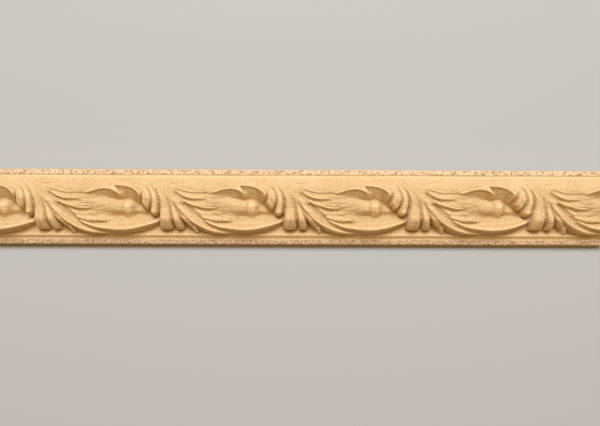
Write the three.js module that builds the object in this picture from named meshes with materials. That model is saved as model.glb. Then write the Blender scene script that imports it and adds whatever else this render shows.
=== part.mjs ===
import * as THREE from 'three';
import { mergeVertices } from 'three/addons/utils/BufferGeometryUtils.js';

// A flexible cornice moulding: one cast strip with a flat back, a gritty fillet along each
// long edge and, between the fillets, a row of turned-over acanthus leaves.
// Millimetres. The strip lies on its back with +Z up. +X runs along it, the way the feathers
// of the leaf sweep, and +Y is the side that the leaves hang from. The origin is the middle
// of the back.

// Driving dimensions
const REPEAT = 40.4; // from one leaf to the next
const REPEATS = 5; // leaves in the length shown
const WIDTH = 25;
const THICKNESS = 9.2; // from the back to the crown of a leaf
const FILLET_THICKNESS = 2.5;
const LOWER_FILLET = 1.7; // width of the fillet below the leaf tips
const UPPER_FILLET = 1.85; // width of the fillet above the crowns
const EDGE_SOFTENING = 0.3; // bevel of both outer edges
const LINE_WIDTH = 1.7; // low line between the lower fillet and the leaf tips
const LINE_HEIGHT = 0.75; // rise of that line above the fillet
const LINE_RAMP = [0.35, 0.9]; // shares of its width at which its slope starts and ends
const END_SHARE = 0.68; // share of a repeat at which the two ends are cut square

// How finely the carving is followed
const FACES_PER_REPEAT = 1500;
const COLUMNS = 208; // samples along a repeat
const ROWS = 100; // samples across the carved band
const BORDER_STEPS = 6; // corners per repeat on every straight line

// One leaf is drawn on a sheet of this size and stretched to the real repeat, width and
// thickness. Sheet heights count from the back, where a fillet's face is at "face" and the
// crown of the leaf at "crown". The places, half widths and drops below are all on the sheet.
const SHEET = { repeat: 41.4, bottom: 3.4, top: 23.35, face: 2.5, crown: 9.45 };

// Height of the leaf across the strip: steep behind the tips, round at the crown and steep
// again at the upper fillet. Pairs of sheet y and height.
const ARCH = [
  [3.4, 2.95], [4.3, 4.3], [5, 5.3], [6, 6.3], [7, 7], [8, 7.6], [10, 8.6], [12.5, 9.2], [14, 9.35],
  [16, 9.35], [17.5, 9.2], [19, 8.85], [20, 8.45], [21, 7.8], [22, 6.75], [22.8, 5.4], [23.15, 3.8],
  [23.35, 2.4],
];

// Height of the plain ground behind and under the leaves.
const GROUND = [[3.4, 3.25], [4, 2.9], [4.7, 2.65], [7, 2.7], [9, 3.2], [19, 3.2], [22, 2.6], [23.35, 2.4]];

// Lower edge of the upper mass, as smooth runs that meet in corners: the brow over the
// fingers, the step back over the feathers, the lip over the hollow with its pointed notch.
// Below each run there is a small step and then a slope, given at evenly spaced places.
const BROW = [
  { points: [[0.3, 18.8], [3.9, 16.9], [6.7, 14.3]], slope: [0.7, 0.8, 0.9], step: [0] },
  { points: [[9, 14.2], [7.4, 16.8], [7.2, 18.4]], slope: [0.9], step: [0] },
  {
    points: [[9.5, 18], [13, 17.6], [17, 17.3], [19.8, 17.1], [22, 17.8], [25, 18.45], [28, 18.1], [30, 17]],
    slope: [0.9, 1, 1, 1, 1, 1, 1, 1.5],
    step: [0, 0, 0.1, 0.3, 0.4, 0.5, 0.5, 0.4],
  },
  { points: [[30, 17], [29.4, 18.2], [28.7, 19.5]], slope: [1.5, 4, 4], step: [0.4] },
  {
    points: [[28.7, 19.5], [31.5, 19.4], [34.3, 18.7], [36.1, 17.6], [37.2, 16.4]],
    slope: [1, 1, 1, 1.3, 1.6],
    step: [0.5, 0.5, 0.5, 0.5, 0.2],
  },
  { points: [[38.4, 19], [40.2, 19.9]], slope: [0.9, 0.7], step: [0.1, 0] },
];
// How far the upper mass lies under the arch.
const BROW_SAG = [[0, 0], [9, 0], [13, 0.25], [18, 0.4], [24, 0.5], [30, 0.6], [35, 0.4], [39, 0], [41.4, 0]];

// The feathers run on from the crown: how far they sink to the right, and their lower edge.
const FEATHER_FALL = [
  [0, 0.1], [9, 0.2], [13, 0.4], [16, 0.6], [19, 1.1], [21, 1.7], [23, 2.3], [25, 2.9], [27, 3.7],
  [29, 4.6], [31, 6], [33, 8], [41.4, 9],
];
const FEATHER_EDGE = [
  [0, 18.8], [3.9, 16.9], [6.4, 15], [9.5, 11.5], [13, 8.1], [17, 5.75], [21, 4.6], [26.5, 4.2],
  [31, 5], [36.5, 6], [41.4, 8],
];
const FEATHER_START = 5;
const FEATHER_WALL = 4; // slope below the feathers' lower edge

// Shallow trough along the foot of the brow: its depth at evenly spaced places, and how far
// it reaches to both sides.
const HOLLOW = [[20, 15.8], [24, 15.8], [29, 15.4], [33, 14.7], [36, 13.6], [37.6, 12.4]];
const HOLLOW_DEPTH = [0, 0.6, 0.5, 0.8, 1.1, 0.8];
const HOLLOW_REACH = [1, 1.8, 2.4, 2.6, 2.2, 1.6];

// Strokes between the feathers: steep on their upper side and gentle on their lower side.
const STROKES = [
  { spine: [[7.3, 17], [10, 15.3], [13, 14.4], [17.5, 14.4]], depth: 1.3, upper: 0.9, lower: 1.9 },
  { spine: [[8, 18.2], [12, 16.95], [15.5, 16.75], [18.5, 17.1]], depth: 0.5, upper: 0.5, lower: 1.3 },
  { spine: [[10.5, 18.7], [14, 17.9], [19.5, 17.4]], depth: 0.2, upper: 0.35, lower: 0.8 },
  { spine: [[10, 13.4], [13.5, 12.2], [17.5, 11.2], [21.5, 11.4]], depth: 1.4, upper: 1, lower: 2 },
  { spine: [[15.5, 12.9], [18.5, 12.6], [21, 12.9]], depth: 0.35, upper: 0.35, lower: 0.5 },
  { spine: [[9.8, 13.5], [12.4, 11.2], [15, 9.3], [17.6, 7.9]], depth: 1.7, upper: 1.4, lower: 1.1 },
  { spine: [[16.5, 9.9], [20, 9.4], [24, 10]], depth: 0.55, upper: 0.6, lower: 0.9 },
];

// Height of the fingers across the strip, blunt at their tips.
const FINGER_ARCH = [
  [4.9, 2.6], [5.2, 4.8], [5.7, 6.1], [6.5, 7.1], [7.9, 8.4], [8.7, 8.85], [10.3, 8.9], [12.3, 8.8],
  [15.5, 9.4], [16.5, 9.4], [17.5, 9.2], [19, 8.85], [20, 8.45], [21, 7.8],
];

// Drooping fingers, from the short one that curls over the hollow to the low one at the
// start of the ridge. Each sinks below that arch along its spine, and drops to its sides.
const FINGERS = [
  {
    spine: [[37.6, 19.4], [39.3, 17.6], [39.8, 15.2], [39.3, 13.1]],
    sink: [0.1, 0, 0.1, 0.9], half: [0.9, 1.35, 1.5, 1.2], drop: [0.5, 1.3, 1.6],
  },
  {
    spine: [[39.8, 19.7], [41.6, 17.2], [42.2, 14.2], [41.7, 11.2]],
    sink: [0, 0, 0, 0.4], half: [0.7, 1.15, 1.25, 1.3], drop: [0.4, 1.3, 1.8],
  },
  {
    spine: [[42.3, 19.4], [44.8, 16], [45.7, 11.5], [45.4, 5]],
    sink: [0], half: [0.8, 1.55, 1.95, 2.15], drop: [0.3, 1.4, 1.8],
  },
  {
    spine: [[45.8, 17.4], [48, 12.8], [49.1, 9.4], [49.9, 5]],
    sink: [0, 0, 0, 0.2], half: [0.4, 1, 1.2, 1.3], drop: [0.2, 1.1, 1.5],
  },
  {
    spine: [[48.7, 13.8], [51.3, 9.8], [53.4, 7.3], [55.4, 5]],
    sink: [0.5, 0.8, 0.9, 1.2], half: [0.3, 0.9, 1, 0.7], drop: [0.2, 1, 1.2],
  },
];
const FINGER_SIDE = { power: 2.6, slope: 6 };

// The stalk lies in the hollow, under the fingers. The forms from here on have a crest of their
// own height. The side to the left of the spine's travel is "upper": half width, drop at that
// width, power of the section and slope beyond it.
const STALK = {
  spine: [[20, 14], [25, 13.3], [32, 12.7], [34, 12.4], [39.4, 12.2]],
  crest: [7.4, 6.6, 6.2, 4.4, 4.2],
  upper: { half: [1.6, 2.4, 2.4, 2.2, 2.2], drop: [0.8, 1.2, 1.2, 0.15, 0.1], power: 2, slope: 0.6 },
  lower: { half: [1.5, 3, 3.2, 2.9, 2.8], drop: [0.8, 2, 2.2, 1.8, 1.8], power: 3, slope: 0.5 },
  join: 0.9,
};
const CRESTS = [
  {
    // long outer ridge that sweeps down under the feathers
    spine: [[6.3, 15.2], [9.5, 11.5], [13, 8.1], [17, 5.75], [21, 4.5], [27.5, 3.8]],
    crest: [9.25, 9.1, 8.3, 7.2, 6.3, 3.8],
    upper: { half: [0.3, 1.1, 1, 0.9, 0.7], drop: [0.1, 0.6, 0.8, 0.6], power: 0.9, slope: 1.6 },
    lower: { half: [0.2, 0.5, 0.5, 0.4], drop: [0.2, 0.7, 0.8, 0.5], power: 1.6, slope: 2.8 },
  },
  {
    // cupped lip under the hollow
    spine: [[16.6, 8.7], [18.7, 7.2], [22, 5.95], [26.5, 5.3], [31.5, 5.15], [36.5, 5.9], [42.4, 7.7]],
    crest: [6.9, 7.5, 7.4, 7.35, 7.4, 7, 5.2],
    upper: {
      half: [0.5, 0.7, 1.3, 2.4, 2.8, 2.4, 1.6], drop: [0.4, 0.7, 1.2, 2, 2.3, 2, 1.3],
      power: 1.7, slope: 1,
    },
    lower: { half: [0.3], drop: [0.5], power: 1.3, slope: 2.6 },
    join: 1.2,
  },
  {
    // rim of the hollow, behind the short finger
    spine: [[35.6, 19.6], [37.7, 18.4], [38.6, 16.4], [38.5, 13.8]],
    crest: [-0.3, -0.1, -0.1, -0.9],
    fromArch: true,
    upper: { half: [0.8], drop: [0.6], power: 2, slope: 3 },
    lower: { half: [1.1], drop: [2.6], power: 1.8, slope: 3 },
    join: 0.4,
  },
  {
    // lowest feather, above the lip
    spine: [[16.6, 9.3], [20, 8.5], [24, 8.45], [27.5, 8]],
    crest: [7.8, 7.8, 6.9, 5],
    upper: { half: [0.5, 1, 0.9], drop: [0.4, 0.5], power: 1.8, slope: 1 },
    lower: { half: [0.4, 0.8, 0.8], drop: [0.4, 0.7], power: 1.8, slope: 3 },
  },
  {
    // curled tip of the last finger
    spine: [[53.8, 7.2], [55, 5.7], [55.3, 4.7]],
    crest: [6, 5.8, 4.6],
    upper: { half: [0.5, 0.6], drop: [0.5], power: 2, slope: 3 },
    lower: { half: [0.5, 0.6], drop: [0.5], power: 2, slope: 3 },
  },
  {
    // small bead across the stalk
    spine: [[32.5, 12.6], [32.5, 11.4]],
    crest: [6.9, 6.5],
    upper: { half: [1.3, 1.4], drop: [0.5], power: 2, slope: 1.6 },
    lower: { half: [1.3, 1.4], drop: [0.5], power: 2, slope: 1.6 },
    join: 0.8,
  },
];
const SOFT_JOIN = 0.3; // how softly two forms run into each other

// Value at x of straight lines through pairs, held level beyond both ends.
function through(pairs, x) {
  const next = pairs.findIndex(([at]) => at > x);
  if (next === 0) return pairs[0][1];
  if (next < 0) return pairs[pairs.length - 1][1];
  const [[x0, y0], [x1, y1]] = [pairs[next - 1], pairs[next]];
  return y0 + ((y1 - y0) * (x - x0)) / (x1 - x0);
}

// Value of an evenly spaced list at a share of the way along it.
function along(values, share) {
  const at = share * (values.length - 1);
  const first = Math.min(Math.floor(at), values.length - 1);
  const last = Math.min(first + 1, values.length - 1);
  return values[first] + (values[last] - values[first]) * (at - first);
}

// The larger of two heights, with a soft join of the given height between them.
function over(a, b, join) {
  const closeness = Math.max(join - Math.abs(a - b), 0) / join;
  return Math.max(a, b) + (closeness * closeness * join) / 4;
}

// Smooth curve through a few points, as a line of short steps.
function curve(points, steps) {
  return new THREE.SplineCurve(points.map(([x, y]) => new THREE.Vector2(x, y))).getPoints(steps);
}

// Nearest point of a line: distance, share of the way along and side.
function nearest(line, x, y) {
  const best = { distance: Infinity };
  for (let i = 0; i + 1 < line.length; i++) {
    const [ex, ey] = [line[i + 1].x - line[i].x, line[i + 1].y - line[i].y];
    const [px, py] = [x - line[i].x, y - line[i].y];
    const share = THREE.MathUtils.clamp((px * ex + py * ey) / Math.max(ex * ex + ey * ey, 1e-9), 0, 1);
    const distance = Math.hypot(px - share * ex, py - share * ey);
    if (distance < best.distance) {
      Object.assign(best, { distance, share: (i + share) / (line.length - 1) });
      best.left = ex * py - ey * px > 0;
    }
  }
  return best;
}

// Each form comes back one repeat to the left and right, so that the pattern runs on.
const moved = (line, turns) => line.map(({ x, y }) => new THREE.Vector2(x + turns * SHEET.repeat, y));
const repeatsOf = (line) => [-2, -1, 0, 1].map((turns) => moved(line, turns));
const near = (line, x, reach) => line.some((point) => Math.abs(point.x - x) < reach);

const SPINE_STEPS = 36;
const withLines = (forms) =>
  forms.flatMap((form) => repeatsOf(curve(form.spine, SPINE_STEPS)).map((line) => ({ ...form, line })));
const [strokes, fingers, crests, stalks] = [STROKES, FINGERS, CRESTS, [STALK]].map(withLines);
const hollows = withLines([{ spine: HOLLOW }]);
const BROW_STEPS = 12; // on each of its runs
const browRun = ({ points, slope, step }, turns) =>
  moved(curve(points, BROW_STEPS), turns).map(({ x, y }, k) => {
    return { x, y, slope: along(slope, k / BROW_STEPS), step: along(step, k / BROW_STEPS) };
  });
const brow = [-1, 0, 1].flatMap((turns) => BROW.flatMap((run) => browRun(run, turns)));

// Whether a point lies above the brow: an even number of its steps pass over the point.
function aboveBrow(x, y) {
  let passing = 0;
  for (let i = 0; i + 1 < brow.length; i++) {
    const [a, b] = [brow[i], brow[i + 1]];
    if (a.x <= x !== b.x <= x && a.y + ((x - a.x) / (b.x - a.x)) * (b.y - a.y) > y) passing += 1;
  }
  return passing % 2 === 0;
}

// Plain distance to the brow, and the fall below it: the least slope times distance over all
// its steps, with that step's small drop at the edge.
const BROW_EDGE = { drop: 0.1, width: 0.4, step: 0.3 };
function browFall(x, y) {
  const best = { distance: Infinity, slide: Infinity, drop: 0 };
  for (let i = 0; i + 1 < brow.length; i++) {
    const { distance, share } = nearest([brow[i], brow[i + 1]], x, y);
    const mix = (name) => brow[i][name] + share * (brow[i + 1][name] - brow[i][name]);
    const slide = mix('slope') * distance;
    best.distance = Math.min(best.distance, distance);
    if (slide < best.slide) {
      Object.assign(best, { slide, drop: mix('step') * Math.min(distance / BROW_EDGE.step, 1) });
    }
  }
  return { distance: best.distance, fall: best.slide + best.drop };
}

// Upper mass: the arch above the brow, a hair lower at its edge, and the fall below it.
function upperMass(x, y, arch) {
  const { distance, fall } = browFall(x, y);
  const top = arch - through(BROW_SAG, x);
  const rounding = BROW_EDGE.drop * Math.max(1 - distance / BROW_EDGE.width, 0) ** 2;
  return aboveBrow(x, y) ? top - rounding : top - BROW_EDGE.drop - fall;
}

// Feathers: the arch, sinking to the right, with a wall below their lower edge.
function feathers(x, y, arch) {
  if (x < FEATHER_START) return 0;
  return arch - through(FEATHER_FALL, x) - FEATHER_WALL * Math.max(through(FEATHER_EDGE, x) - y, 0);
}

// Depth of the trough below the brow at a point.
const HOLLOW_POWER = 1.2;
function hollowDepth(x, y) {
  let depth = 0;
  for (const { line } of hollows) {
    if (!near(line, x, Math.max(...HOLLOW_REACH))) continue;
    const { distance, share } = nearest(line, x, y);
    const across = Math.max(1 - distance / along(HOLLOW_REACH, share), 0);
    depth += along(HOLLOW_DEPTH, share) * across ** HOLLOW_POWER;
  }
  return depth;
}

// Depth of all strokes at a point. A stroke fades out towards both ends along a sine, has a
// sharp upper edge with a round bottom, and runs out gently below.
const STROKE_FADE = { start: 0.05, span: 0.9, lean: 0.7, power: 0.6 };
const STROKE_POWER = { upper: 2, lower: 1.5 };
function strokeDepth(x, y) {
  let depth = 0;
  for (const stroke of strokes) {
    if (!near(stroke.line, x, stroke.lower)) continue;
    const { distance, share, left } = nearest(stroke.line, x, y);
    const across = left
      ? 1 - Math.min(distance / stroke.upper, 1) ** STROKE_POWER.upper
      : Math.max(1 - distance / stroke.lower, 0) ** STROKE_POWER.lower;
    const arc = Math.PI * (STROKE_FADE.start + STROKE_FADE.span * share ** STROKE_FADE.lean);
    depth += stroke.depth * Math.sin(arc) ** STROKE_FADE.power * across;
  }
  return depth;
}

// Fall of a form's section at a distance from its spine: a curve within the half width and a
// straight slope beyond it.
function sideFall(distance, share, side) {
  const half = along(side.half, share);
  const curved = along(side.drop, share) * Math.min(distance / half, 1) ** side.power;
  return curved + side.slope * Math.max(distance - half, 0);
}

function fingerHeight(finger, x, y, arch) {
  const { distance, share } = nearest(finger.line, x, y);
  return arch - along(finger.sink, share) - sideFall(distance, share, { ...finger, ...FINGER_SIDE });
}

function crestHeight(form, x, y, arch) {
  const { distance, share, left } = nearest(form.line, x, y);
  const crest = along(form.crest, share) + (form.fromArch ? arch : 0);
  return crest - sideFall(distance, share, left ? form.upper : form.lower);
}

// Height of the carving at a place on the sheet, counted from the back.
const REACH = 5; // no finger or crest shows further than this from its spine
function carving(x, y) {
  const [arch, fingerArch] = [through(ARCH, y), through(FINGER_ARCH, y)];
  const laid = (height, forms, heightOf, top) =>
    forms
      .filter((form) => near(form.line, x, REACH))
      .reduce((sum, form) => over(sum, heightOf(form, x, y, top), form.join ?? SOFT_JOIN), height);

  const floor = laid(feathers(x, y, arch), stalks, crestHeight, arch) - hollowDepth(x, y);
  const upper = over(upperMass(x, y, arch), floor, SOFT_JOIN) - strokeDepth(x, y);
  const ground = over(upper, through(GROUND, y), SOFT_JOIN);
  return laid(laid(ground, fingers, fingerHeight, fingerArch), crests, crestHeight, arch);
}

// Straight rows of the cross-section outside the carved band, as pairs of y and height.
const bandBottom = LOWER_FILLET + LINE_WIDTH;
const bandTop = WIDTH - UPPER_FILLET;
const lowerRows = [
  [0, FILLET_THICKNESS - EDGE_SOFTENING],
  [EDGE_SOFTENING, FILLET_THICKNESS],
  [LOWER_FILLET, FILLET_THICKNESS],
  [LOWER_FILLET + LINE_RAMP[0] * LINE_WIDTH, FILLET_THICKNESS],
  [LOWER_FILLET + LINE_RAMP[1] * LINE_WIDTH, FILLET_THICKNESS + LINE_HEIGHT],
  [bandBottom, FILLET_THICKNESS + LINE_HEIGHT],
];
const upperRows = [
  [bandTop, FILLET_THICKNESS],
  [WIDTH - EDGE_SOFTENING, FILLET_THICKNESS],
  [WIDTH, FILLET_THICKNESS - EDGE_SOFTENING],
];

// Real height at a sample of the carved band. Its first and last rows are the straight rows.
function sampleHeight(i, j) {
  if (j === 0) return lowerRows[lowerRows.length - 1][1];
  if (j === ROWS) return upperRows[0][1];
  const x = (((i % COLUMNS) / COLUMNS + END_SHARE) % 1) * SHEET.repeat;
  const y = SHEET.bottom + (j / ROWS) * (SHEET.top - SHEET.bottom);
  const stretch = (THICKNESS - FILLET_THICKNESS) / (SHEET.crown - SHEET.face);
  return FILLET_THICKNESS + (carving(x, y) - SHEET.face) * stretch;
}

const stepX = REPEAT / COLUMNS;
const stepY = (bandTop - bandBottom) / ROWS;
const samples = [];
for (let j = 0; j <= ROWS; j++) {
  for (let i = 0; i <= COLUMNS; i++) samples.push({ i, j, z: sampleHeight(i, j) });
}
const sampleAt = (i, j) => samples[j * (COLUMNS + 1) + i];

// A steep place counts for less, so that walls don't take all the faces.
for (const sample of samples) {
  const { i, j } = sample;
  const rise = sampleAt(Math.min(i + 1, COLUMNS), j).z - sampleAt(Math.max(i - 1, 0), j).z;
  const climb = sampleAt(i, Math.min(j + 1, ROWS)).z - sampleAt(i, Math.max(j - 1, 0)).z;
  sample.weight = 1 / Math.hypot(1, rise / (2 * stepX), climb / (2 * stepY));
}

// Twice the area of a triangle of samples, positive when it turns left.
const doubleArea = (a, b, c) => (b.i - a.i) * (c.j - a.j) - (b.j - a.j) * (c.i - a.i);

// Whether d lies inside the circle through a, b and c, exactly, as all are whole numbers.
function inCircle([a, b, c], d) {
  const [ax, ay, bx, by, cx, cy] = [a.i - d.i, a.j - d.j, b.i - d.i, b.j - d.j, c.i - d.i, c.j - d.j];
  const [aa, bb, cc] = [ax * ax + ay * ay, bx * bx + by * by, cx * cx + cy * cy];
  return aa * (bx * cy - cx * by) - bb * (ax * cy - cx * ay) + cc * (ax * by - bx * ay) > 0;
}

// A face takes over the samples that lie in it, and remembers the one furthest from it.
function face(corners, candidates) {
  const [a, b, c] = corners;
  const area = doubleArea(a, b, c);
  const made = { corners, held: [], worst: null, error: 0 };
  const left = [];
  for (const sample of candidates) {
    const shares = [doubleArea(b, c, sample), doubleArea(c, a, sample), doubleArea(a, b, sample)];
    if (Math.min(...shares) < 0) {
      left.push(sample);
      continue;
    }
    made.held.push(sample);
    const flat = (shares[0] * a.z + shares[1] * b.z + shares[2] * c.z) / area;
    const error = Math.abs(sample.z - flat) * sample.weight;
    if (error > made.error) Object.assign(made, { worst: sample, error });
  }
  return { made, left };
}

// Adds one corner to the net: the faces whose circle holds it give way to a fan around it.
function addCorner(net, corner) {
  const opened = net.filter((one) => inCircle(one.corners, corner));
  const edges = opened.flatMap(({ corners: [a, b, c] }) => [[a, b], [b, c], [c, a]]);
  const rim = edges.filter(([a, b]) => !edges.some(([c, d]) => a === d && b === c));
  let loose = opened.flatMap((one) => one.held);
  const kept = net.filter((one) => !opened.includes(one));
  for (const [a, b] of rim) {
    if (doubleArea(a, b, corner) <= 0) continue;
    const { made, left } = face([a, b, corner], loose);
    kept.push(made);
    loose = left;
  }
  return kept;
}

// Rows at which both ends of a repeat have corners: the profile's own bends.
function bends(from, to, tolerance) {
  const [a, b] = [sampleAt(0, from), sampleAt(0, to)];
  let [at, most] = [0, 0];
  for (let j = from + 1; j < to; j++) {
    const flat = a.z + ((b.z - a.z) * (j - from)) / (to - from);
    const error = Math.abs(sampleAt(0, j).z - flat);
    if (error > most) [at, most] = [j, error];
  }
  return most > tolerance ? [...bends(from, at, tolerance), at, ...bends(at, to, tolerance)] : [];
}
const BEND_TOLERANCE = 0.12;
const endRows = [0, ...bends(0, ROWS, BEND_TOLERANCE), ROWS];

// The net of one repeat: its border first, then always the sample that is furthest off.
function repeatNet() {
  const [start, end] = [sampleAt(0, 0), sampleAt(COLUMNS, ROWS)];
  const first = face([start, sampleAt(COLUMNS, 0), end], samples);
  let net = [first.made, face([start, end, sampleAt(0, ROWS)], first.left).made];
  for (let step = 1; step < BORDER_STEPS; step++) {
    const i = Math.round((step * COLUMNS) / BORDER_STEPS);
    net = addCorner(net, sampleAt(i, 0));
    net = addCorner(net, sampleAt(i, ROWS));
  }
  for (const j of endRows.slice(1, -1)) {
    net = addCorner(net, sampleAt(0, j));
    net = addCorner(net, sampleAt(COLUMNS, j));
  }
  while (net.length < FACES_PER_REPEAT) {
    const worst = net.reduce((a, b) => (b.error > a.error ? b : a));
    if (worst.error === 0) break;
    net = addCorner(net, worst.worst);
  }
  return net;
}

// The closed strip: carved faces, straight rows, both long sides, the back and the two ends.
function mouldingGeometry() {
  const positions = [];
  const triangle = (...corners) => corners.forEach((corner) => positions.push(...corner));
  const left = (-REPEATS * REPEAT) / 2;
  const low = -WIDTH / 2;
  const place = ({ i, j, z }, n) => [left + n * REPEAT + i * stepX, low + bandBottom + j * stepY, z];
  const columnX = (n, step) => left + n * REPEAT + Math.round((step * COLUMNS) / BORDER_STEPS) * stepX;

  const net = repeatNet();
  const around = [[0, 0], ...lowerRows];
  const back = [...upperRows, [WIDTH, 0], [0, 0]];
  for (let n = 0; n < REPEATS; n++) {
    for (const { corners } of net) triangle(...corners.map((sample) => place(sample, n)));
    for (const rows of [around, back]) {
      for (let row = 0; row + 1 < rows.length; row++) {
        for (let step = 0; step < BORDER_STEPS; step++) {
          const [x0, x1] = [columnX(n, step), columnX(n, step + 1)];
          const [[y0, z0], [y1, z1]] = [rows[row], rows[row + 1]];
          const [a, b] = [[x0, low + y0, z0], [x1, low + y0, z0]];
          const [c, d] = [[x1, low + y1, z1], [x0, low + y1, z1]];
          triangle(a, b, c);
          triangle(a, c, d);
        }
      }
    }
  }

  const column = endRows.map((j) => [bandBottom + j * stepY, sampleAt(0, j).z]);
  const section = [[0, 0], ...lowerRows.slice(0, -1), ...column, ...upperRows.slice(1), [WIDTH, 0]];
  const flat = section.map(([y, z]) => new THREE.Vector2(low + y, z));
  for (const [a, b, c] of THREE.ShapeUtils.triangulateShape(flat, [])) {
    const at = (x, k) => [x, flat[k].x, flat[k].y];
    triangle(at(-left, a), at(-left, b), at(-left, c));
    triangle(at(left, c), at(left, b), at(left, a));
  }

  const geometry = new THREE.BufferGeometry();
  geometry.setAttribute('position', new THREE.Float32BufferAttribute(positions, 3));
  const closed = mergeVertices(geometry, 1e-3);
  closed.computeVertexNormals();
  return closed;
}

const castTan = new THREE.MeshStandardMaterial({ color: '#dcb285', roughness: 0.6, metalness: 0 });
const moulding = new THREE.Mesh(mouldingGeometry(), castTan);
moulding.name = 'cornice_moulding';

const cornice = new THREE.Group();
cornice.add(moulding);
export default cornice;
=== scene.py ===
import math
import bpy
import numpy as np
from numpy.lib.stride_tricks import sliding_window_view
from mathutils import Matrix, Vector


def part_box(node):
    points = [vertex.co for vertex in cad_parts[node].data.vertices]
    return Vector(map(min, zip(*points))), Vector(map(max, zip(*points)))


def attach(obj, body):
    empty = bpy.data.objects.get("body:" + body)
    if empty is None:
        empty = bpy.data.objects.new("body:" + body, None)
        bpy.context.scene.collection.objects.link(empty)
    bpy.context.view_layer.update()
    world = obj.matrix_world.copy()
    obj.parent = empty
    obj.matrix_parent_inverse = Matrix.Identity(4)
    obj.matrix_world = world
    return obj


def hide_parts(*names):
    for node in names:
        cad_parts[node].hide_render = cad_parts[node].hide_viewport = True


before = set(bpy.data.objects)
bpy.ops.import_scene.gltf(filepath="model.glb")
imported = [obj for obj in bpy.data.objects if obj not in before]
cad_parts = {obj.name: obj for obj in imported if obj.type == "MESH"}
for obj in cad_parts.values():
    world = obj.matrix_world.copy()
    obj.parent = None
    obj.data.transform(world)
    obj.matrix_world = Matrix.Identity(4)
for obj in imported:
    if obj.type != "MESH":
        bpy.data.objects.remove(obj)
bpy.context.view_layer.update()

# The leaf of the moulding.
# One carved acanthus leaf comes back every repeat along the strip, which a rubber mould casts in wood
# pulp and resin. It is drawn here on a sheet in millimetres, one repeat long.
REPEAT, FACE, CROWN = 41.4, 2.5, 9.45  # a fillet's face and the leaf's crown are heights above the back
SOFT_JOIN = 0.3  # how softly two forms run into each other
REACH = 6  # no form shows further than this beyond its line
LINE_STEPS, BROW_STEPS = 36, 12
TINY = 1e-9  # least square of a step's length, because two runs may meet in one point

# Height of the leaf across the strip, as pairs of y and height, then that of the fingers, which are
# blunt at their tips, and that of the plain ground.
ARCH = [
    (3.4, 2.95), (4.3, 4.3), (5, 5.3), (6, 6.3), (7, 7), (8, 7.6), (10, 8.6), (12.5, 9.2),
    (14, 9.35), (16, 9.35), (17.5, 9.2), (19, 8.85), (20, 8.45), (21, 7.8), (22, 6.75),
    (22.8, 5.4), (23.15, 3.8), (23.35, 2.4),
]
FINGER_ARCH = [
    (4.9, 2.6), (5.2, 4.8), (5.7, 6.1), (6.5, 7.1), (7.9, 8.4), (8.7, 8.85), (10.3, 8.9), (12.3, 8.8),
    (15.5, 9.4), (16.5, 9.4), (17.5, 9.2), (19, 8.85), (20, 8.45), (21, 7.8),
]
GROUND = [(3.4, 3.25), (4, 2.9), (4.7, 2.65), (7, 2.7), (9, 3.2), (19, 3.2), (22, 2.6), (23.35, 2.4)]

# Lower edge of the upper mass, in smooth runs that meet in corners. A run has its points, the slope
# of the fall below it and a small step at its edge, both at evenly spaced places.
BROW = [
    ([(0.3, 18.8), (3.9, 16.9), (6.7, 14.3)], [0.7, 0.8, 0.9], [0]),
    ([(9, 14.2), (7.4, 16.8), (7.2, 18.4)], [0.9], [0]),
    ([(9.5, 18), (13, 17.6), (17, 17.3), (19.8, 17.1), (22, 17.8), (25, 18.45), (28, 18.1), (30, 17)],
     [0.9, 1, 1, 1, 1, 1, 1, 1.5], [0, 0, 0.1, 0.3, 0.4, 0.5, 0.5, 0.4]),
    ([(30, 17), (29.4, 18.2), (28.7, 19.5)], [1.5, 4, 4], [0.4]),
    ([(28.7, 19.5), (31.5, 19.4), (34.3, 18.7), (36.1, 17.6), (37.2, 16.4)], [1, 1, 1, 1.3, 1.6],
     [0.5, 0.5, 0.5, 0.5, 0.2]),
    ([(38.4, 19), (40.2, 19.9)], [0.9, 0.7], [0.1, 0]),
]
BROW_EDGE_DROP, BROW_EDGE_WIDTH, BROW_STEP_WIDTH = 0.1, 0.4, 0.3
# How far the upper mass lies under the arch, as pairs of x and depth.
BROW_SAG = [(0, 0), (9, 0), (13, 0.25), (18, 0.4), (24, 0.5), (30, 0.6), (35, 0.4), (39, 0), (41.4, 0)]

# How far the feathers sink to the right, and their lower edge with the slope of the wall below it.
FEATHER_FALL = [
    (0, 0.1), (9, 0.2), (13, 0.4), (16, 0.6), (19, 1.1), (21, 1.7), (23, 2.3), (25, 2.9), (27, 3.7),
    (29, 4.6), (31, 6), (33, 8), (41.4, 9),
]
FEATHER_EDGE = [
    (0, 18.8), (3.9, 16.9), (6.4, 15), (9.5, 11.5), (13, 8.1), (17, 5.75), (21, 4.6), (26.5, 4.2),
    (31, 5), (36.5, 6), (41.4, 8),
]
FEATHER_START, FEATHER_WALL = 5, 4

# Trough along the foot of the brow: its line, then its depth and reach at evenly spaced places.
HOLLOW = [(20, 15.8), (24, 15.8), (29, 15.4), (33, 14.7), (36, 13.6), (37.6, 12.4)]
HOLLOW_DEPTH = [0, 0.6, 0.5, 0.8, 0.7, 0.3]
HOLLOW_REACH = [1, 1.8, 2.4, 2.6, 2.2, 1.6]
HOLLOW_POWER = 1.2

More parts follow.
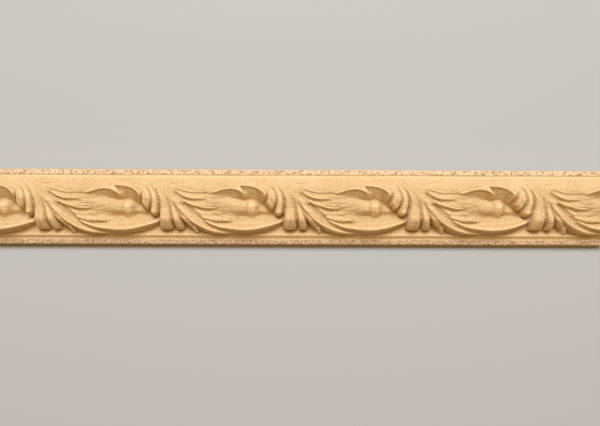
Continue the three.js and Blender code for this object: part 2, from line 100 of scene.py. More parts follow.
# Strokes between the feathers, and thin scores over all the forms: a line, its depth, and how far it
# reaches above and below.
STROKES = [
    ([(7.3, 17), (10, 15.3), (13, 14.4), (17.5, 14.4)], 1.3, 0.9, 1.9),
    ([(8, 18.2), (12, 16.95), (15.5, 16.75), (18.5, 17.1)], 0.5, 0.5, 1.3),
    ([(10.5, 18.7), (14, 17.9), (19.5, 17.4)], 0.2, 0.35, 0.8),
    ([(10, 13.4), (13.5, 12.2), (17.5, 11.2), (21.5, 11.4)], 1.4, 1, 2),
    ([(15.5, 12.9), (18.5, 12.6), (21, 12.9)], 0.35, 0.35, 0.5),
    ([(9.8, 13.5), (12.4, 11.2), (15, 9.3), (17.6, 7.9)], 1.7, 1.4, 1.1),
    ([(16.5, 9.9), (20, 9.4), (24, 10)], 0.55, 0.6, 0.9),
    ([(5.6, 20.1), (9, 20.4), (12.8, 21.3)], 0.4, 0.3, 0.4),
    ([(6.4, 21), (9.4, 21.3), (12.4, 21.9)], 0.25, 0.25, 0.35),
    ([(13.5, 20.1), (17, 19.6), (21, 19.5)], 0.12, 0.3, 0.6),
    ([(17, 13.8), (20, 13.5), (23, 13.8)], 0.25, 0.3, 0.5),
    ([(19, 12.6), (22, 12.3), (25, 12.5)], 0.25, 0.3, 0.5),
    ([(17, 15.7), (20, 15.2), (23.5, 15.5)], 0.2, 0.3, 0.6),
]
SCORES = [
    ([(30.95, 14.2), (30.75, 12.4), (31, 10.4)], 0.4, 0.3, 0.35),
    ([(23, 7.6), (27, 6.9), (32, 6.7), (37, 7.2), (40.5, 8)], 0.35, 0.6, 1),
    ([(33.5, 20.6), (36.5, 20.1), (38.6, 18.8)], 0.15, 0.3, 0.5),
    ([(2, 21.3), (5.5, 20.4), (9, 19.2)], 0.12, 0.3, 0.6),
    ([(29, 10.2), (33, 9.9), (37, 10), (40, 10.6), (42, 11.3)], 0.5, 1.4, 0.9),
    ([(19.5, 10.1), (22.5, 9.5), (26, 8.2)], 0.45, 0.3, 0.5),
    ([(17.6, 7.4), (20.5, 6.1), (24, 5.3), (28, 4.9)], 0.4, 0.35, 0.35),
    ([(39.7, 18.6), (40.75, 16.9), (41.1, 14.6), (40.6, 12.4)], 0.6, 0.3, 0.3),
    ([(42.3, 18), (43.2, 16.4), (43.7, 14.3), (43.4, 11.5), (42.9, 9.5)], 0.6, 0.3, 0.3),
    ([(46.3, 15.6), (47.3, 13.3), (47.6, 9.7), (47.4, 7)], 0.4, 0.3, 0.3),
]
# A cut fades out along its line by a sine, over an arc that is short of half a turn at both ends. The
# power FADE_LEAN moves its deepest place towards the line's start.
FADE_START, FADE_SPAN, FADE_LEAN, FADE_POWER = 0.05, 0.9, 0.7, 0.6
CUT_UPPER_POWER, CUT_LOWER_POWER = 2, 1.5

# Drooping fingers: a line, then how far each sinks below the finger arch, its half width and its
# drop at that width, at evenly spaced places.
FINGERS = [
    ([(37.6, 19.4), (39.3, 17.6), (39.8, 15.2), (39.3, 13.1)],
     [0.1, 0, 0.1, 0.9], [0.9, 1.35, 1.5, 1.2], [0.5, 1.3, 1.6]),
    ([(39.8, 19.7), (41.6, 17.2), (42.2, 14.2), (41.7, 11.2)],
     [0, 0, 0, 0.4], [0.7, 1.15, 1.25, 1.3], [0.4, 1.3, 1.8]),
    ([(42.3, 19.4), (44.8, 16), (45.7, 11.5), (45.4, 5)],
     [0], [0.8, 1.55, 1.95, 2.15], [0.3, 1.4, 1.8]),
    ([(45.8, 17.4), (48, 12.8), (49.1, 9.4), (49.9, 5)],
     [0, 0, 0, 0.2], [0.4, 1, 1.2, 1.3], [0.2, 1.1, 1.5]),
    ([(48.7, 13.8), (51.3, 9.8), (53.4, 7.3), (55.4, 5)],
     [0.5, 0.8, 0.9, 1.2], [0.3, 0.9, 1, 0.7], [0.2, 1, 1.2]),
]
FINGER_POWER, FINGER_WALL = 2.6, 6

# Forms with a crest of their own height. Each side has its half width, its drop at that width, the
# power of its section and the slope beyond. "upper" is the side to the left of the line.
STALK = dict(
    spine=[(20, 14), (25, 13.3), (32, 12.7), (34, 12.4), (39.4, 12.2)],
    crest=[7.4, 6.6, 6.2, 4.4, 4.2], join=0.9,
    upper=([1.6, 2.4, 2.4, 2.2, 2.2], [0.8, 1.2, 1.2, 0.15, 0.1], 2, 0.6),
    lower=([1.5, 3, 3.2, 2.9, 2.8], [0.8, 2, 2.2, 1.8, 1.8], 3, 0.5))
CRESTS = {
    "outer ridge": dict(
        spine=[(6.3, 15.2), (9.5, 11.5), (13, 8.1), (17, 5.75), (21, 4.5), (27.5, 3.8)],
        crest=[9.25, 9.1, 8.3, 7.2, 6.3, 3.8], join=SOFT_JOIN,
        upper=([0.3, 1.1, 1, 0.9, 0.7], [0.1, 0.6, 0.8, 0.6], 0.9, 1.6),
        lower=([0.2, 0.5, 0.5, 0.4], [0.2, 0.7, 0.8, 0.5], 1.6, 2.8)),
    "cupped lip": dict(
        spine=[(16.6, 8.7), (18.7, 7.2), (22, 5.95), (26.5, 5.3), (31.5, 5.15), (36.5, 5.9), (42.4, 7.7)],
        crest=[6.9, 7.5, 7.4, 7.35, 7.4, 7, 5.2], join=1.2,
        upper=([0.5, 0.7, 1.3, 2.4, 2.8, 2.4, 1.6], [0.4, 0.7, 1.2, 2, 2.3, 2, 1.3], 1.7, 1),
        lower=([0.3], [0.5], 1.3, 2.6)),
    "rim of the hollow": dict(
        spine=[(35.6, 19.6), (37.7, 18.4), (38.6, 16.4), (38.5, 13.8)],
        crest=[-0.3, -0.1, -0.1, -0.9], from_arch=True, join=0.4,
        upper=([0.8], [0.6], 2, 3),
        lower=([1.1], [2.6], 1.8, 3)),
    "lowest feather": dict(
        spine=[(16.6, 9.3), (20, 8.5), (24, 8.45), (27.5, 8)],
        crest=[7.8, 7.8, 6.9, 5], join=SOFT_JOIN,
        upper=([0.5, 1, 0.9], [0.4, 0.5], 1.8, 1),
        lower=([0.4, 0.8, 0.8], [0.4, 0.7], 1.8, 3)),
    "curled tip of the last finger": dict(
        spine=[(53.8, 7.2), (55, 5.7), (55.3, 4.7)],
        crest=[6, 5.8, 4.6], join=SOFT_JOIN,
        upper=([0.5, 0.6], [0.5], 2, 3),
        lower=([0.5, 0.6], [0.5], 2, 3)),
    "bead": dict(
        spine=[(32.5, 12.6), (32.5, 11.4)],
        crest=[6.9, 6.5], join=0.8,
        upper=([1.15, 1.25], [0.5], 2, 1.6),
        lower=([1.15, 1.25], [0.5], 2, 1.6)),
}


def through(pairs, x):
    """Straight lines through pairs of x and value, level beyond both ends."""
    at, value = np.array(pairs, float).T
    return np.interp(x, at, value)


def along(values, share):
    """Straight lines through evenly spaced values, at a share of the way along them."""
    if len(values) == 1:
        return np.full(share.shape, float(values[0]))
    return np.interp(share, np.linspace(0, 1, len(values)), values)


def curve(points, steps):
    """Catmull-Rom curve: each stretch is a cubic whose slope at a point is half the step between
    that point's neighbours, with both end points doubled."""
    p = np.array([points[0], *points, points[-1]], float)
    at = np.linspace(0, 1, steps + 1) * (len(points) - 1)
    first = np.minimum(at.astype(int), len(points) - 2)
    t = (at - first)[:, None]
    a, b, c, d = (p[first + k] for k in range(4))
    start, end = (c - a) / 2, (d - b) / 2
    return (2 * b - 2 * c + start + end) * t**3 + (3 * c - 3 * b - 2 * start - end) * t**2 + start * t + b


def to_steps(x, y, line):
    """Each place set against every step of a line: the share of the step at which it is nearest,
    how far it is, and whether it lies left of the step. The share is the offset times the step
    over the step's length squared, held between 0 and 1."""
    a, step = line[:-1], np.diff(line, axis=0)
    square = np.maximum((step**2).sum(axis=1), TINY)
    px, py = x[..., None] - a[:, 0], y[..., None] - a[:, 1]
    share = np.clip((px * step[:, 0] + py * step[:, 1]) / square, 0, 1)
    gap = np.hypot(px - share * step[:, 0], py - share * step[:, 1])
    return share, gap, step[:, 0] * py - step[:, 1] * px > 0


def picked(values, index):
    """The value that each place's own index names along the last axis."""
    return np.take_along_axis(values, index[..., None], axis=-1)[..., 0]


def nearest(x, y, line):
    """How far each place is from a line, at which share of the way along it, and whether left."""
    share, gap, left = to_steps(x, y, line)
    best = gap.argmin(axis=-1)
    return picked(gap, best), (best + picked(share, best)) / (len(line) - 1), picked(left, best)


def over(a, b, join):
    """The larger of two heights, raised by up to a quarter of the join where they come close."""
    closeness = np.maximum(join - np.abs(a - b), 0) / join
    return np.maximum(a, b) + closeness**2 * join / 4


def side_fall(far, half, drop, power, slope):
    """Fall of a form's section: drop times the power of distance over half width, and beyond the
    half width a straight slope."""
    inside = drop * np.minimum(far / half, 1) ** power
    return inside + slope * np.maximum(far - half, 0)


brow_line = np.concatenate([curve(points, BROW_STEPS) for points, _, _ in BROW])
brow_line = np.concatenate([brow_line + (turn * REPEAT, 0) for turn in (-1, 0, 1)])
brow_share = np.linspace(0, 1, BROW_STEPS + 1)
brow_slope = np.tile(np.concatenate([along(slope, brow_share) for _, slope, _ in BROW]), 3)
brow_step = np.tile(np.concatenate([along(step, brow_share) for _, _, step in BROW]), 3)


def above_brow(x, y):
    """A place is above the brow if an even number of the brow's steps pass over it."""
    a, b = brow_line[:-1], brow_line[1:]
    spans = (a[:, 0] <= x[..., None]) != (b[:, 0] <= x[..., None])
    run = np.where(b[:, 0] == a[:, 0], 1, b[:, 0] - a[:, 0])
    height = a[:, 1] + (x[..., None] - a[:, 0]) / run * (b[:, 1] - a[:, 1])
    return (spans & (height > y[..., None])).sum(axis=-1) % 2 == 0


def brow_fall(x, y):
    """Plain distance to the brow, and the fall below it: the least, over the brow's steps, of slope
    times distance, with the small drop of that step at the edge."""
    share, gap, _ = to_steps(x, y, brow_line)
    slide = gap * (brow_slope[:-1] + share * np.diff(brow_slope))
    drop = (brow_step[:-1] + share * np.diff(brow_step)) * np.minimum(gap / BROW_STEP_WIDTH, 1)
    least = slide.argmin(axis=-1)
    return gap.min(axis=-1), picked(slide, least) + picked(drop, least)


def upper_mass(x, y, arch):
    """The arch above the brow, less a small rounding at its edge, and below the brow a wall that
    falls with distance."""
    far, fall = brow_fall(x, y)
    top = arch - through(BROW_SAG, x)
    rounding = BROW_EDGE_DROP * np.maximum(1 - far / BROW_EDGE_WIDTH, 0) ** 2
    return np.where(above_brow(x, y), top - rounding, top - BROW_EDGE_DROP - fall)


def feathers(x, y, arch):
    """The arch, sinking to the right, with a wall below the feathers' lower edge."""
    height = arch - through(FEATHER_FALL, x) - FEATHER_WALL * np.maximum(through(FEATHER_EDGE, x) - y, 0)
    return np.where(x < FEATHER_START, 0, height)


def repeats_of(points):
    """A form's line in its own repeat and in the neighbouring ones."""
    line = curve(points, LINE_STEPS)
    moved = [line + (turn * REPEAT, 0) for turn in (-2, -1, 0, 1)]
    return [each for each in moved if each[:, 0].max() > -REACH]


def crest_height(form, line, x, y, arch):
    """The crest's height along its line, less the fall of the side that the place lies on."""
    far, share, left = nearest(x, y, line)
    falls = [
        side_fall(far, along(half, share), along(drop, share), power, slope)
        for half, drop, power, slope in (form["upper"], form["lower"])
    ]
    return along(form["crest"], share) + (arch if form.get("from_arch") else 0) - np.where(left, *falls)


def finger_height(finger, line, x, y, arch):
    """The finger arch, less how far the finger sinks along its line and falls to its side."""
    _, sink, half, drop = finger
    far, share, _ = nearest(x, y, line)
    fall = side_fall(far, along(half, share), along(drop, share), FINGER_POWER, FINGER_WALL)
    return arch - along(sink, share) - fall


def hollowed(height, x, y):
    """The height, sunk along the brow's foot by a depth that fades with distance by a power."""
    for line in repeats_of(HOLLOW):
        far, share, _ = nearest(x, y, line)
        across = np.maximum(1 - far / along(HOLLOW_REACH, share), 0) ** HOLLOW_POWER
        height = height - along(HOLLOW_DEPTH, share) * across
    return height


def cut_depth(cuts, x, y):
    """Depth of all the cuts in a list. Across, a cut has a sharp upper edge and a round bottom, and
    runs out gently below; along, it fades out towards both ends by a sine."""
    total = np.zeros(x.shape)
    for points, depth, upper, lower in cuts:
        for line in repeats_of(points):
            far, share, left = nearest(x, y, line)
            above = 1 - np.minimum(far / upper, 1) ** CUT_UPPER_POWER
            below = np.maximum(1 - far / lower, 0) ** CUT_LOWER_POWER
            arc = np.pi * (FADE_START + FADE_SPAN * share**FADE_LEAN)
            total += depth * np.sin(arc) ** FADE_POWER * np.where(left, above, below)
    return total


def carving(x, y):
    """Height of the carving on the sheet: feathers and stalk, hollowed, then the upper mass over
    them, less the strokes, then the ground, the fingers and the crests, each laid over the rest
    with a soft join, and last the scores."""
    arch, finger_arch = through(ARCH, y), through(FINGER_ARCH, y)
    height = feathers(x, y, arch)
    for line in repeats_of(STALK["spine"]):
        height = over(height, crest_height(STALK, line, x, y, arch), STALK["join"])
    height = over(upper_mass(x, y, arch), hollowed(height, x, y), SOFT_JOIN)
    height = over(height - cut_depth(STROKES, x, y), through(GROUND, y), SOFT_JOIN)
    for finger in FINGERS:
        for line in repeats_of(finger[0]):
            height = over(height, finger_height(finger, line, x, y, finger_arch), SOFT_JOIN)
    for form in CRESTS.values():
        for line in repeats_of(form["spine"]):
            height = over(height, crest_height(form, line, x, y, arch), form["join"])
    return height - cut_depth(SCORES, x, y)


# The strip.
# It is one casting of wood pulp and resin, glued on by its flat back, with two gritty fillets, a low
# line beside the lower one and two square-cut ends. It is one closed skin, in millimetres.
MM = 0.001
REPEATS = 5
END_SHARE = 0.68  # share of a repeat at which both ends are cut
LOWER_FILLET, UPPER_FILLET, FILLET = 1.7, 1.85, 2.5  # two widths, and the thickness of both
EDGE_SOFTENING = 0.3  # bevel of both outer edges
BEVEL_MIDDLE, BEVEL_DROP = 0.12, 0.09  # where the bevel is bent, from the side and from the face
LINE_WIDTH, LINE_HEIGHT = 1.7, 0.75
LINE_START, LINE_TOP = LOWER_FILLET + 0.35 * LINE_WIDTH, LOWER_FILLET + 0.9 * LINE_WIDTH
low, high = (np.array(corner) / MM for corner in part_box("cornice_moulding"))
WIDTH, THICKNESS = high[1] - low[1], high[2]
BAND_LOW, BAND_HIGH = LOWER_FILLET + LINE_WIDTH, WIDTH - UPPER_FILLET  # edges of the carved band

COLUMNS_PER_REPEAT = 138
COLUMNS = REPEATS * COLUMNS_PER_REPEAT + 1
LOWER_ROWS, CARVED_ROWS, UPPER_ROWS = 10, 104, 9
LINE_ROWS = [2, LINE_START, 2.6, 2.9, LINE_TOP]  # rows between the lower fillet and the line

# Layers of random bumps: depth, size of a bump in rows and columns, and seed. The grit's depths are
# shares of GRIT_DEPTH. Grit fades over GRIT_FADE at a fillet's edges. It stops GRIT_EDGE short of the
# strip's outer edges, and runs on as far past the inner edge of the lower fillet.
UNEVEN = [(0.05, (5, 4), 13), (0.025, (2, 1.6), 14)]
GRIT = [(0.6, (1.6, 1.3), 11), (0.4, (1, 1), 12)]
GRIT_DEPTH, GRIT_FADE, GRIT_EDGE = 0.09, 0.3, 0.15

# A place that stands proud against the mean over the near grid steps gets a painted highlight, and a pit
# gets painted shade. A place that is both low and below the mean over the wide ones lies in a hollow and
# gets painted shade.
NEAR_STEPS, WIDE_STEPS, BELL_REACH = 13, 41, 2
HIGHLIGHT_AND_PIT_HEIGHT, SHADE_HOLLOW_HEIGHT = 0.35, 2.2
SHADE_HOLLOW_BELOW, SHADE_HOLLOW_FADE = 6.2, 2


def smooth_noise(rows, columns, grain, seed):
    """Even random numbers on a coarse grid with one cell per grain, eased between by the
    smoothstep curve and stretched to the grid asked for, from -1 to 1."""
    cells = int(rows / grain[0]) + 2, int(columns / grain[1]) + 2
    coarse = np.random.default_rng(seed).uniform(-1, 1, cells)
    r, c = np.arange(rows) / grain[0], np.arange(columns) / grain[1]
    i, j = r.astype(int), c.astype(int)
    u, v = r - i, c - j
    u, v = (u * u * (3 - 2 * u))[:, None], (v * v * (3 - 2 * v))[None, :]
    top = coarse[np.ix_(i, j)] * (1 - v) + coarse[np.ix_(i, j + 1)] * v
    bottom = coarse[np.ix_(i + 1, j)] * (1 - v) + coarse[np.ix_(i + 1, j + 1)] * v
    return top * (1 - u) + bottom * u


def bumps(rows, layers):
    """Sum of the layers' smooth noise over so many rows, each times its depth."""
    return sum(depth * smooth_noise(rows, COLUMNS, grain, seed) for depth, grain, seed in layers)


def blurred(z, steps):
    """Mean of the heights over so many grid steps both ways, weighted by a bell curve. Beyond its
    edges the grid goes on level."""
    bell = np.exp(-np.linspace(-BELL_REACH, BELL_REACH, steps) ** 2)
    z = np.pad(z, steps // 2, mode="edge")
    for axis in (0, 1):
        z = sliding_window_view(z, steps, axis=axis) @ (bell / bell.sum())
    return z


def carved_band():
    """Heights of the carved rows. The sheet's carving is stretched to the strip's thickness and
    repeated, with a slight unevenness that fades out towards both fillets by a sine."""
    sheet_x = ((np.arange(COLUMNS_PER_REPEAT) / COLUMNS_PER_REPEAT + END_SHARE) % 1) * REPEAT
    x, y = np.meshgrid(sheet_x, np.linspace(ARCH[0][0], ARCH[-1][0], CARVED_ROWS))
    tile = FILLET + (carving(x, y) - FACE) * (THICKNESS - FILLET) / (CROWN - FACE)
    fade = np.sin(np.pi * np.arange(CARVED_ROWS) / (CARVED_ROWS - 1))[:, None]
    z = np.tile(tile, (1, REPEATS + 1))[:, :COLUMNS] + bumps(CARVED_ROWS, UNEVEN) * fade
    z[0], z[-1] = FILLET + LINE_HEIGHT, FILLET
    return z


def plain_rows(y):
    """Heights of rows beside the carving, level along the strip: straight lines through the points
    of the cross-section, which has a bevel at both outer edges and the rise of the low line."""
    section = [
        (0, FILLET - EDGE_SOFTENING), (BEVEL_MIDDLE, FILLET - BEVEL_DROP), (EDGE_SOFTENING, FILLET),
        (LINE_START, FILLET), (LINE_TOP, FILLET + LINE_HEIGHT), (BAND_LOW, FILLET + LINE_HEIGHT),
        (BAND_HIGH, FILLET), (WIDTH - EDGE_SOFTENING, FILLET), (WIDTH - BEVEL_MIDDLE, FILLET - BEVEL_DROP),
        (WIDTH, FILLET - EDGE_SOFTENING),
    ]
    return np.repeat(through(section, y)[:, None], COLUMNS, axis=1)


def grit_share(y):
    """How much grit a row has: 1 on a fillet, falling straight to 0 at both its edges."""
    lower = np.minimum((y - GRIT_EDGE) / GRIT_FADE, (LOWER_FILLET + GRIT_EDGE - y) / GRIT_FADE)
    upper = np.minimum((y - BAND_HIGH) / GRIT_FADE, (WIDTH - GRIT_EDGE - y) / GRIT_FADE)
    return np.clip(np.maximum(lower, upper), 0, 1)


lower_y = np.linspace(EDGE_SOFTENING, LOWER_FILLET, LOWER_ROWS)
lower_y = np.concatenate([[0, BEVEL_MIDDLE], lower_y, LINE_ROWS])
upper_y = np.linspace(BAND_HIGH + GRIT_EDGE, WIDTH - EDGE_SOFTENING, UPPER_ROWS)
upper_y = np.concatenate([upper_y, [WIDTH - BEVEL_MIDDLE, WIDTH]])
rows_y = np.concatenate([lower_y, np.linspace(BAND_LOW, BAND_HIGH, CARVED_ROWS), upper_y])
smooth_z = np.concatenate([plain_rows(lower_y), carved_band(), plain_rows(upper_y)])
gritty = np.repeat(grit_share(rows_y)[:, None], COLUMNS, axis=1)
face_z = smooth_z + GRIT_DEPTH * bumps(len(rows_y), GRIT) * gritty

# Painted light: proud places get a painted highlight and pits get painted shade in the material.
crest_highlight_and_pit_shade = np.clip((smooth_z - blurred(smooth_z, NEAR_STEPS)) / HIGHLIGHT_AND_PIT_HEIGHT, -1, 1)
# Painted shade: places that are low and below the wide mean are darkened as hollows in the material.
sunk = np.clip((blurred(smooth_z, WIDE_STEPS) - smooth_z) / SHADE_HOLLOW_HEIGHT, 0, 1)
painted_shade_hollows = sunk * np.clip((SHADE_HOLLOW_BELOW - smooth_z) / SHADE_HOLLOW_FADE, 0, 1)

# The grid goes round the strip: the rows of the face, then the two edges of the back.
columns_x = np.linspace(low[0], high[0], COLUMNS)
grid_x, grid_y = np.meshgrid(columns_x, np.concatenate([rows_y + low[1], [high[1], low[1]]]))
grid_z = np.concatenate([face_z, np.zeros((2, COLUMNS))])
points = np.stack([grid_x, grid_y, grid_z], axis=-1).reshape(-1, 3) * MM

ring = np.arange(len(grid_z)) * COLUMNS
after = np.roll(ring, -1)
c = np.arange(COLUMNS - 1)
corners = [ring[:, None] + c, ring[:, None] + c + 1, after[:, None] + c + 1, after[:, None] + c]
quads = np.stack(corners, axis=-1).reshape(-1, 4)
left_end, right_end = ring.tolist(), (ring + COLUMNS - 1)[::-1].tolist()

mesh = bpy.data.meshes.new("moulding_skin")
mesh.from_pydata(points.tolist(), [], quads.tolist() + [left_end, right_end])
mesh.validate()
mesh.shade_smooth()
for name, values in (("gritty", gritty), ("crest_highlight_and_pit_shade", crest_highlight_and_pit_shade), ("painted_shade_hollows", painted_shade_hollows)):
    padded = np.concatenate([values.ravel(), np.zeros(2 * COLUMNS)])
    mesh.attributes.new(name, "FLOAT", "POINT").data.foreach_set("value", padded)
moulding = bpy.data.objects.new("moulding_skin", mesh)
bpy.context.collection.objects.link(moulding)
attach(moulding, "root")
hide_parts("cornice_moulding")

# Tans of the carving: light, deep, a painted highlight on proud edges, painted shade in pits and hollows,
# and specks. Then the three grains.
TAN_LIGHT, TAN_DEEP = (0.7, 0.53, 0.3, 1), (0.58, 0.41, 0.2, 1)
PAINTED_CREST_HIGHLIGHT, PAINTED_PIT_SHADE, PAINTED_HOLLOW_SHADE = (0.82, 0.63, 0.36, 1), (0.49, 0.34, 0.16, 1), (0.56, 0.4, 0.19, 1)
TAN_SPECK = (0.42, 0.28, 0.12, 1)
GRAIN_CREAM, GRAIN_PINK, GRAIN_BROWN = (0.83, 0.67, 0.46, 1), (0.67, 0.48, 0.35, 1), (0.42, 0.28, 0.15, 1)
# Sizes of the patterns in millimetres, with how many finer layers a noise has.
CLOUD_SIZE, CLOUD_DETAIL = 6, 2.0
MOTTLE_SIZE, MOTTLE_DETAIL = 0.8, 3.0
FIBRE_WIDTH, FIBRE_DETAIL, FIBRE_STRETCH = 0.3, 3.0, (0.3, 1, 1)
SPECK_SIZE, SPECK_DETAIL = 0.5, 1.0
TOOTH_SIZE, TOOTH_DETAIL, TOOTH_DEPTH, TOOTH_LEAST = 0.9, 4.0, 0.35, 0.5
GRAIN_SIZE = 0.45
# Where each pattern starts to show and where it is full, and how much of it shows. The speckled part and
# the lower side that gets painted shade are places across the strip, in millimetres.
CLOUD_SHARE, FIBRE_SHARE, MOTTLE_SHARE, TAN_SPREAD = 0.3, 0.3, 0.4, (0.38, 0.6)
CREST_HIGHLIGHT_SPREAD, PIT_SHADE_SPREAD = (0.08, 0.65), (0.1, 1.2)
SPECK_SPREAD, SPECK_SHARE, SPECKLED = (0.52, 0.7), 0.5, (5, -2)
PINK_SPREAD, BROWN_SPREAD = (0.4, 0.6), (0.15, 0.3)
# Painted shade: towards the lower side the fillet's grains turn pinker and browner, where the carving
# shades it.
SHADED_LOWER_SIDE, LOWER_SHADE_PINKER, LOWER_SHADE_BROWNER = (5.0, -5.0), 0.2, 0.4
ROUGHNESS, ROUGHER, SPECULAR = 0.72, 0.1, 0.2


class Wire:
    """An output of a shader node. The arithmetic signs on it add Math nodes, and node() adds any
    other kind: its type, then its settings, then the numbers or wires of its inputs."""

    def __init__(self, tree, socket=None):
        self.tree, self.socket = tree, socket

    def node(self, kind, settings, inputs, output=0):
        made = self.tree.nodes.new("ShaderNode" + kind)
        for name, value in settings.items():
            setattr(made, name, value)
        for name, value in inputs.items():
            if isinstance(value, Wire):
                self.tree.links.new(value.socket, made.inputs[name])
            else:
                made.inputs[name].default_value = value
        return Wire(self.tree, made.outputs[output])

    def math(self, operation, a, b):
        return self.node("Math", {"operation": operation}, {0: a, 1: b})

    def __add__(self, other):
        return self.math("ADD", self, other)

    def __sub__(self, other):
        return self.math("SUBTRACT", self, other)

    def __rsub__(self, other):
        return self.math("SUBTRACT", other, self)

    def __mul__(self, other):
        return self.math("MULTIPLY", self, other)

    __radd__, __rmul__ = __add__, __mul__

    def between(self, start, end):
        """0 up to the start, 1 from the end, straight between."""
        return self.node("MapRange", {}, {"Value": self, "From Min": start, "From Max": end})

    def blend(self, a, b):
        """Colour a where this is 0 and colour b where it is 1."""
        return self.node("Mix", {"data_type": "RGBA"}, {"Factor": self, "A": a, "B": b}, output=2)


def cast_pulp():
    """Material of the strip. Colour: a tan with broad clouds, mottle and fine fibres along the
    strip, with a painted highlight on proud edges and painted shade in pits and hollows, and specks on
    the lower side; on the fillets, cells of a grain's size in cream, pink and brown, which turn pinker
    and browner on the lower fillet as painted shade. The bump is a fine tooth."""
    material = bpy.data.materials.new("cast pulp and resin")
    material.use_nodes = True
    tree = material.node_tree
    wires = Wire(tree)
    place = wires.node("TexCoord", {}, {}, output=3)
    mm = wires.node("VectorMath", {"operation": "SCALE"}, {0: place, "Scale": 1 / MM})
    across = wires.node("SeparateXYZ", {}, {"Vector": mm}, output=1)
    gritty = wires.node("Attribute", {"attribute_name": "gritty"}, {}, output=2)
    crest_highlight_and_pit_shade = wires.node("Attribute", {"attribute_name": "crest_highlight_and_pit_shade"}, {}, output=2)
    painted_shade_hollows = wires.node("Attribute", {"attribute_name": "painted_shade_hollows"}, {}, output=2)

    def noise(at, size, detail):
        return wires.node("TexNoise", {}, {"Vector": at, "Scale": 1 / size, "Detail": detail})

    clouds = noise(mm, CLOUD_SIZE, CLOUD_DETAIL)
    mottle = noise(mm, MOTTLE_SIZE, MOTTLE_DETAIL)
    specks = noise(mm, SPECK_SIZE, SPECK_DETAIL)
    tooth = noise(mm, TOOTH_SIZE, TOOTH_DETAIL)
    stretched = wires.node("VectorMath", {"operation": "MULTIPLY"}, {0: mm, 1: FIBRE_STRETCH})
    fibres = noise(stretched, FIBRE_WIDTH, FIBRE_DETAIL)

    body = clouds * CLOUD_SHARE + fibres * FIBRE_SHARE + mottle * MOTTLE_SHARE
    body = body.between(*TAN_SPREAD).blend(TAN_DEEP, TAN_LIGHT)
    # Painted shade in the hollows, where the carving's own shadow falls.
    body = painted_shade_hollows.blend(body, PAINTED_HOLLOW_SHADE)
    # Painted highlight on proud edges, then painted shade in pits.
    body = crest_highlight_and_pit_shade.between(*CREST_HIGHLIGHT_SPREAD).blend(body, PAINTED_CREST_HIGHLIGHT)
    body = (crest_highlight_and_pit_shade * -1.0).between(*PIT_SHADE_SPREAD).blend(body, PAINTED_PIT_SHADE)
    speckled = specks.between(*SPECK_SPREAD) * across.between(*SPECKLED) * SPECK_SHARE
    body = speckled.blend(body, TAN_SPECK)

    # Painted shade on the lower fillet: its grains turn pinker and browner towards the lower side.
    shaded_lower_side = across.between(*SHADED_LOWER_SIDE)
    cells = wires.node("TexVoronoi", {}, {"Vector": mm, "Scale": 1 / GRAIN_SIZE}, output=1)
    grain = wires.node("SeparateColor", {}, {"Color": cells}) - shaded_lower_side * LOWER_SHADE_PINKER
    fillet = grain.between(*PINK_SPREAD).blend(GRAIN_PINK, GRAIN_CREAM)
    fillet = grain.between(*BROWN_SPREAD).blend(GRAIN_BROWN, fillet)
    fillet = (shaded_lower_side * LOWER_SHADE_BROWNER).blend(fillet, GRAIN_BROWN)

    height = tooth * (TOOTH_LEAST + gritty + painted_shade_hollows)
    bump = wires.node("Bump", {}, {"Height": height, "Distance": TOOTH_DEPTH * MM, "Strength": 1.0})
    bsdf = tree.nodes["Principled BSDF"]
    tree.links.new(gritty.blend(body, fillet).socket, bsdf.inputs["Base Color"])
    tree.links.new((gritty * ROUGHER + tooth * ROUGHER + ROUGHNESS).socket, bsdf.inputs["Roughness"])
    tree.links.new(bump.socket, bsdf.inputs["Normal"])
    bsdf.inputs["Specular IOR Level"].default_value = SPECULAR
    return material


mesh.materials.append(cast_pulp())

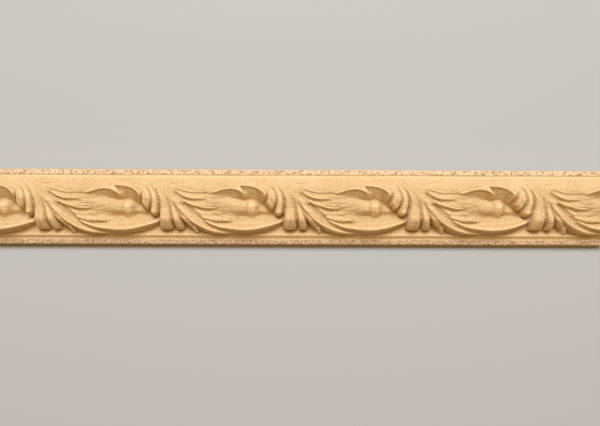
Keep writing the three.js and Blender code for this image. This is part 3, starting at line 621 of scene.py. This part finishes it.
# The floor, the lamp, the room and the camera.
# The strip lies on a plain pale table. A wide soft lamp stands beyond its upper edge, a warm glow
# fills the shade before a pale wall, and the camera looks down on the middle of the strip.
FLOOR_SIZE, FLOOR_COLOUR, FLOOR_ROUGHNESS = 2.6, (0.45, 0.5, 0.55, 1), 0.9
LAMP_DISTANCE, LAMP_HEIGHT_DEG, LAMP_SIZE, LAMP_WATTS = 1.0, 57, 0.45, 10.8
GLOW, GLOW_STRENGTH, PALE_WALL = (1, 0.56, 0.17, 1), 0.4, (0.6, 0.58, 0.55, 1)
CAMERA_AT = (-1.25 * MM, -1.9 * MM, 190 * MM)
CAMERA_TURN_DEG = (0, -0.36, 0.2)
CAMERA_NEAR = 0.01
FRAME_WIDTH, FOCAL_PIXELS, SENSOR = 600, 564.5, 36

bpy.ops.mesh.primitive_plane_add(size=FLOOR_SIZE, location=(0, 0, 0))
floor = bpy.context.object
floor.name = "floor"
paper = bpy.data.materials.new("pale paper")
paper.use_nodes = True
paper.node_tree.nodes["Principled BSDF"].inputs["Base Color"].default_value = FLOOR_COLOUR
paper.node_tree.nodes["Principled BSDF"].inputs["Roughness"].default_value = FLOOR_ROUGHNESS
floor.data.materials.append(paper)

lamp = bpy.data.objects.new("soft lamp", bpy.data.lights.new("soft lamp", "AREA"))
lamp.data.energy = LAMP_WATTS
lamp.data.size = LAMP_SIZE
lamp_height = math.radians(LAMP_HEIGHT_DEG)
lamp.location = (0, LAMP_DISTANCE * math.cos(lamp_height), LAMP_DISTANCE * math.sin(lamp_height))
lamp.rotation_euler = (-lamp.location).to_track_quat("-Z", "Y").to_euler()
bpy.context.collection.objects.link(lamp)

world = bpy.data.worlds.new("studio")
bpy.context.scene.world = world
world.use_nodes = True
room = Wire(world.node_tree)
seen = room.node("LightPath", {}, {})
glow = room.node("Background", {}, {"Color": GLOW, "Strength": GLOW_STRENGTH})
wall = room.node("Background", {}, {"Color": PALE_WALL, "Strength": 1.0})
shown = room.node("MixShader", {}, {0: seen, 1: glow, 2: wall})
world.node_tree.links.new(shown.socket, world.node_tree.nodes["World Output"].inputs["Surface"])

camera = bpy.data.objects.new("camera", bpy.data.cameras.new("camera"))
camera.data.sensor_width = SENSOR
camera.data.lens = SENSOR * FOCAL_PIXELS / FRAME_WIDTH
camera.data.clip_start = CAMERA_NEAR
camera.location = CAMERA_AT
camera.rotation_euler = [math.radians(turn) for turn in CAMERA_TURN_DEG]
bpy.context.collection.objects.link(camera)
bpy.context.scene.camera = camera
bpy.context.scene.view_settings.view_transform = "Standard"
